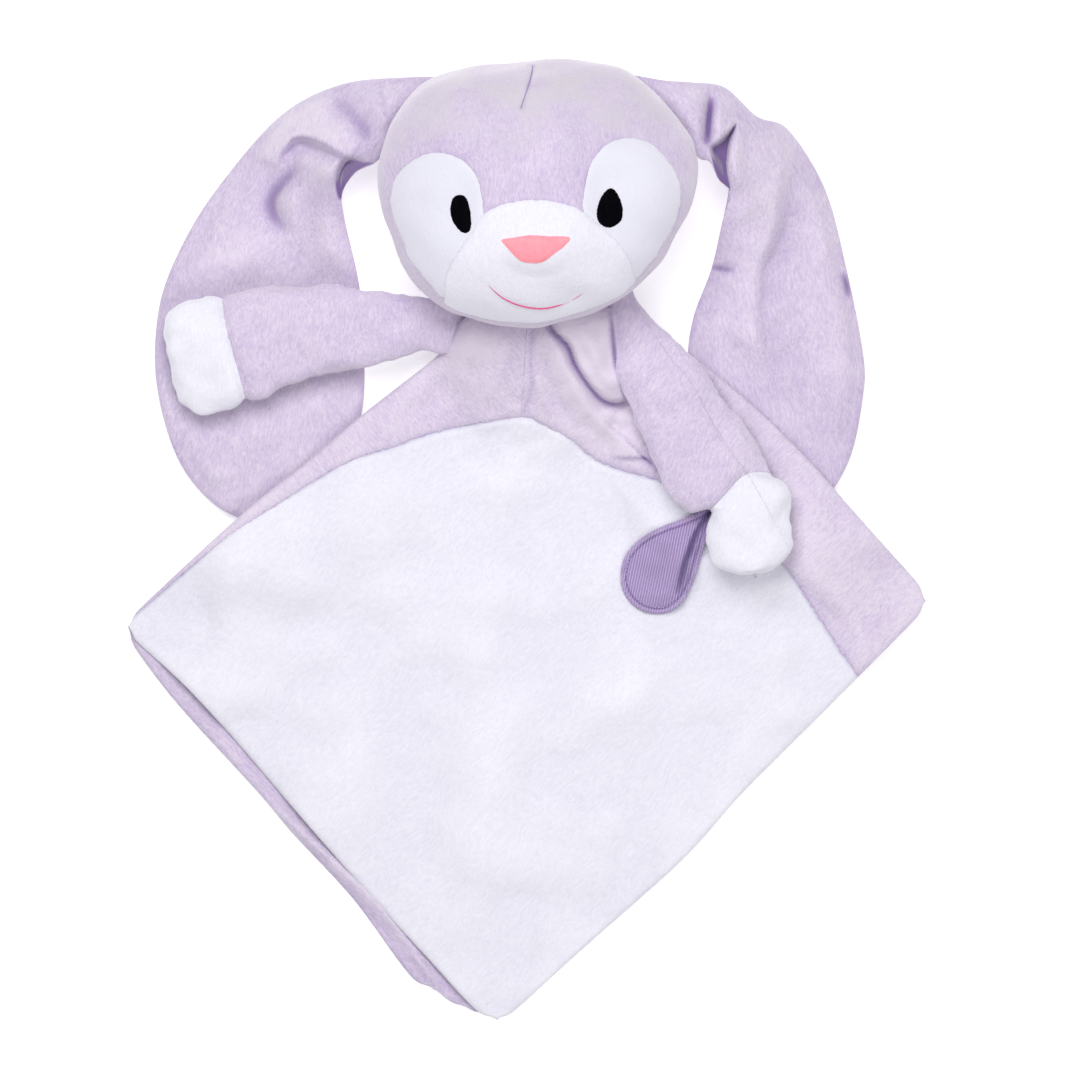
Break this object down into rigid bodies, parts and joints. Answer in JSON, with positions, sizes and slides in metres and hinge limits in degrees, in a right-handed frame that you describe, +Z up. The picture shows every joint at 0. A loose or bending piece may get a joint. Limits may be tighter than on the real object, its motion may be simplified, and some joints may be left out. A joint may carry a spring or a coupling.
{
  "type": "bunny comforter",
  "caption": "Plush bunny comforter: stuffed head with long floppy ears and soft arms, sewn to a flat square blanket, lying face up.",
  "frame": {"origin": "on the resting surface, under the point where the square blanket's diagonals cross", "axes": "+Z up out of the face, +Y from the blanket's lower corner to the crown of the head, +X to the right as seen from the front"},
  "size_m": [0.4858, 0.577, 0.122],
  "materials": {
    "lilac_plush": "short-pile plush with a soft sheen",
    "white_plush": "short-pile plush with a soft sheen",
    "ribbed_knit": "fine ribbed knit, topstitched",
    "black_embroidery": "dense satin stitch",
    "pink_embroidery": "dense satin stitch",
    "pink_thread": "running embroidery thread",
    "lilac_thread": "sewing thread in a closed seam",
    "fibre_filling": "loose polyester fibre"
  },
  "bodies": {
    "blanket": {"yoke_left": "lilac_plush", "yoke_right": "lilac_plush", "belly_panel_upper": "white_plush", "back_panel_upper": "lilac_plush", "keepsake_flap": "ribbed_knit"},
    "blanket_lower": {"belly_panel_lower": "white_plush", "back_panel_lower": "lilac_plush"},
    "head": {"face_panel": "lilac_plush", "head_back_left": "lilac_plush", "head_back_right": "lilac_plush", "eye_patch_left": "white_plush", "eye_patch_right": "white_plush", "muzzle_panel": "white_plush", "eye_left": "black_embroidery", "eye_right": "black_embroidery", "nose": "pink_embroidery", "smile_stitch": "pink_thread", "forehead_dart": "lilac_thread", "head_stuffing": "fibre_filling"},
    "ear_left": {"ear_left_front": "lilac_plush", "ear_left_back": "lilac_plush"},
    "ear_right": {"ear_right_front": "lilac_plush", "ear_right_back": "lilac_plush"},
    "arm_left": {"arm_left_front": "lilac_plush", "arm_left_back": "lilac_plush", "paw_left_front": "white_plush", "paw_left_back": "white_plush", "arm_left_stuffing": "fibre_filling"},
    "arm_right": {"arm_right_front": "lilac_plush", "arm_right_back": "lilac_plush", "paw_right_front": "white_plush", "paw_right_back": "white_plush", "arm_right_stuffing": "fibre_filling"}
  },
  "joints": [
    {"name": "neck_sway", "type": "hinge", "parent": "blanket", "child": "head", "pos_m": [0.005, 0.177, 0.04], "axis": [0, 0, 1], "range_deg": [-8, 8]},
    {"name": "ear_left_swing", "type": "hinge", "parent": "head", "child": "ear_left", "pos_m": [-0.1093, 0.2936, 0.036], "axis": [0, 0, -1], "range_deg": [0, 80]},
    {"name": "ear_right_swing", "type": "hinge", "parent": "head", "child": "ear_right", "pos_m": [0.1193, 0.2936, 0.036], "axis": [0, 0, 1], "range_deg": [0, 80]},
    {"name": "arm_left_lift", "type": "hinge", "parent": "blanket", "child": "arm_left", "pos_m": [-0.051, 0.165, 0.0299], "axis": [-0.1219, 0.9925, 0], "range_deg": [0, 55]},
    {"name": "arm_right_lift", "type": "hinge", "parent": "blanket", "child": "arm_right", "pos_m": [0.061, 0.166, 0.0299], "axis": [-0.866, -0.5, 0], "range_deg": [0, 70]},
    {"name": "blanket_fold", "type": "hinge", "parent": "blanket", "child": "blanket_lower", "pos_m": [0, -0.07, 0.0068], "axis": [-1, 0, 0], "range_deg": [0, 165]}
  ]
}
